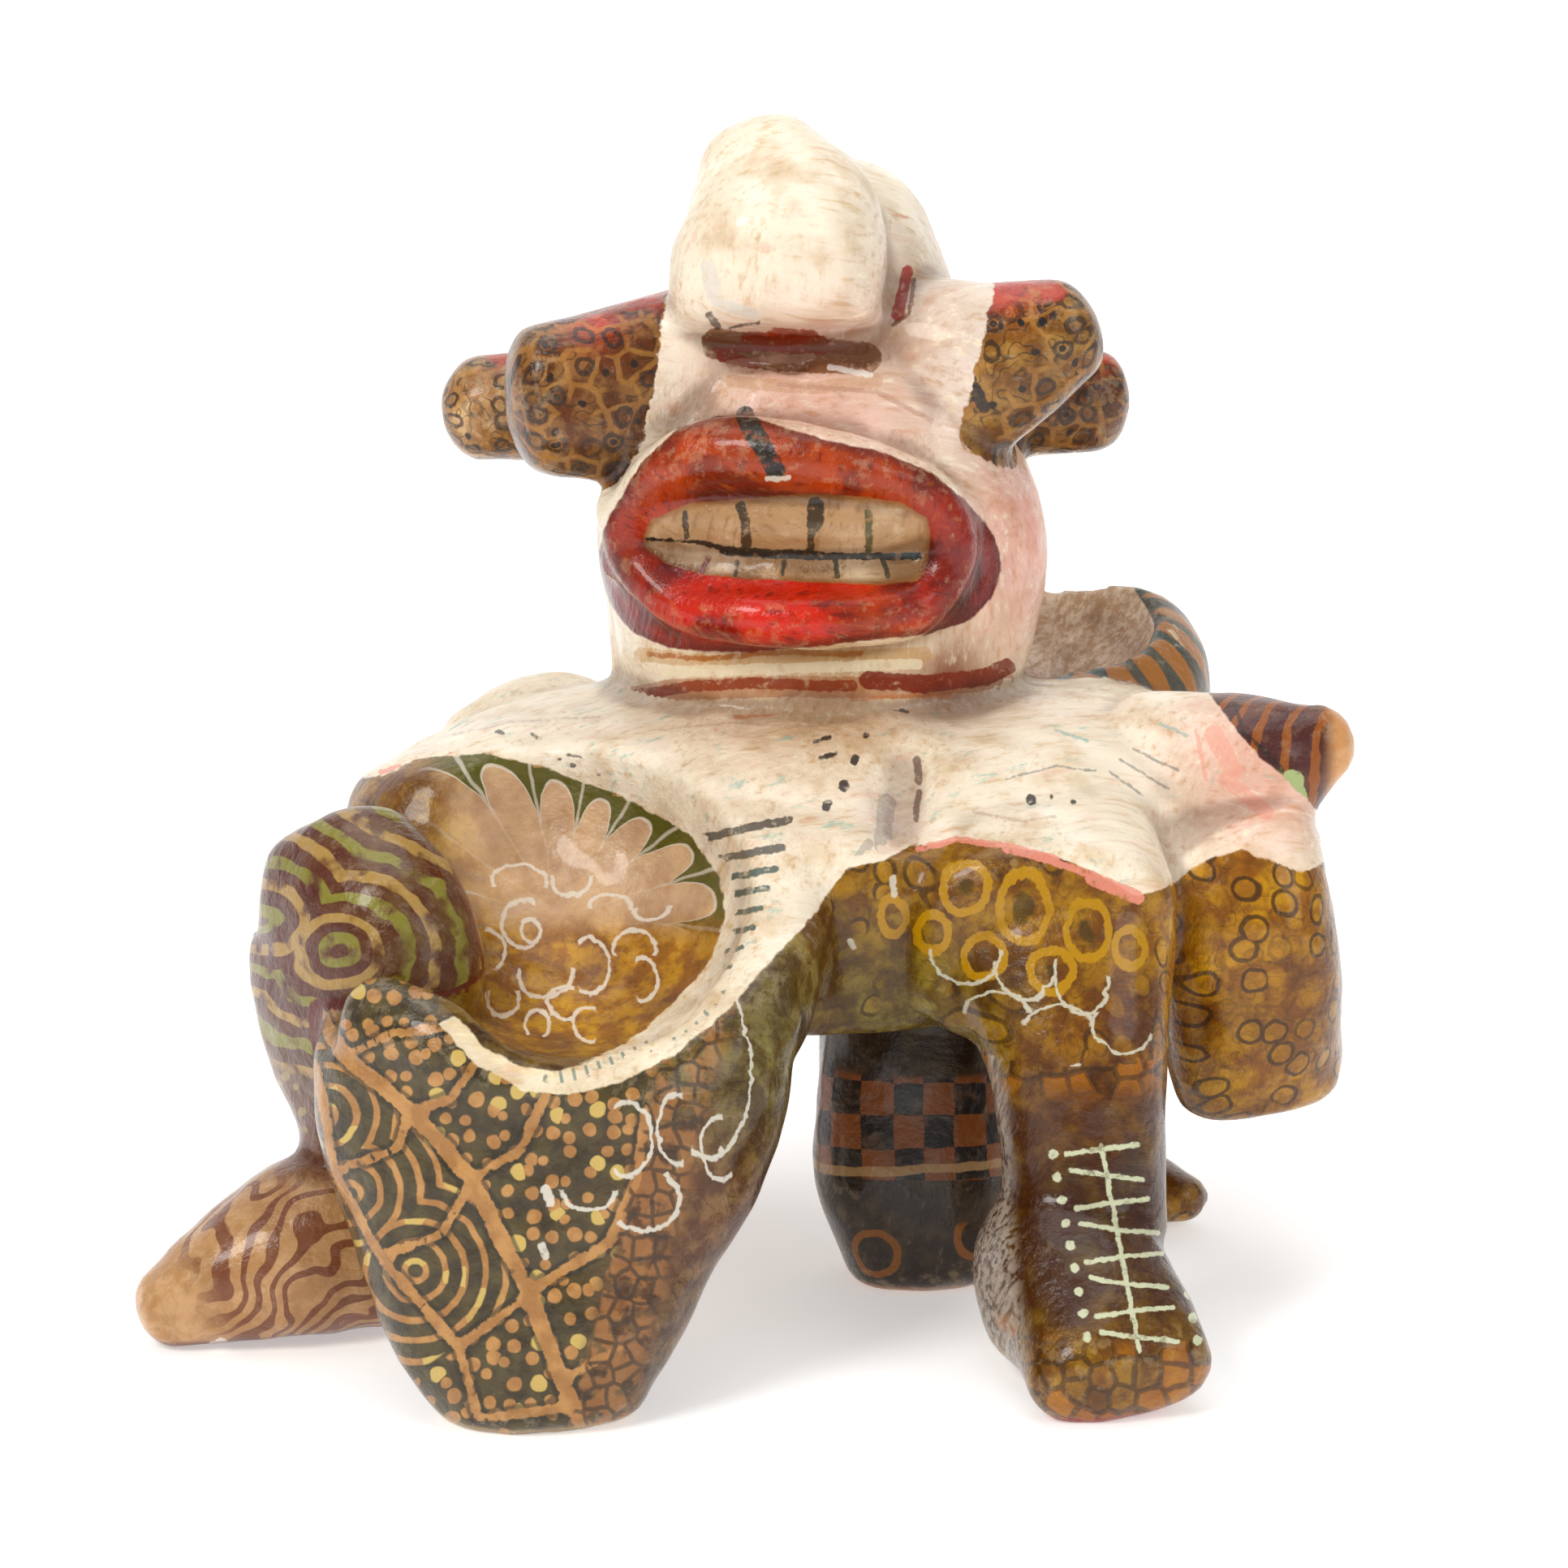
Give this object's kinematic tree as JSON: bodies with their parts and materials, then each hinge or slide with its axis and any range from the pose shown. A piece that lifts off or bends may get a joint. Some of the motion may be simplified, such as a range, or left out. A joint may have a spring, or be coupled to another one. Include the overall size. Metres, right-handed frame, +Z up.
{
  "type": "papier-mache figure",
  "caption": "Painted papier-mache creature standing on stubby feet, with a big-lipped toothed head, horn-like lobes and two hollowed bowls.",
  "frame": {"origin": "middle of the bounding box at floor level", "axes": "+X to the viewer's right as the face looks at them, +Y away from the face, +Z up"},
  "size_m": [0.2774, 0.233, 0.2703],
  "materials": {
    "painted_paper": "painted and varnished"
  },
  "bodies": {
    "root": {"figure": "painted_paper"}
  },
  "joints": []
}
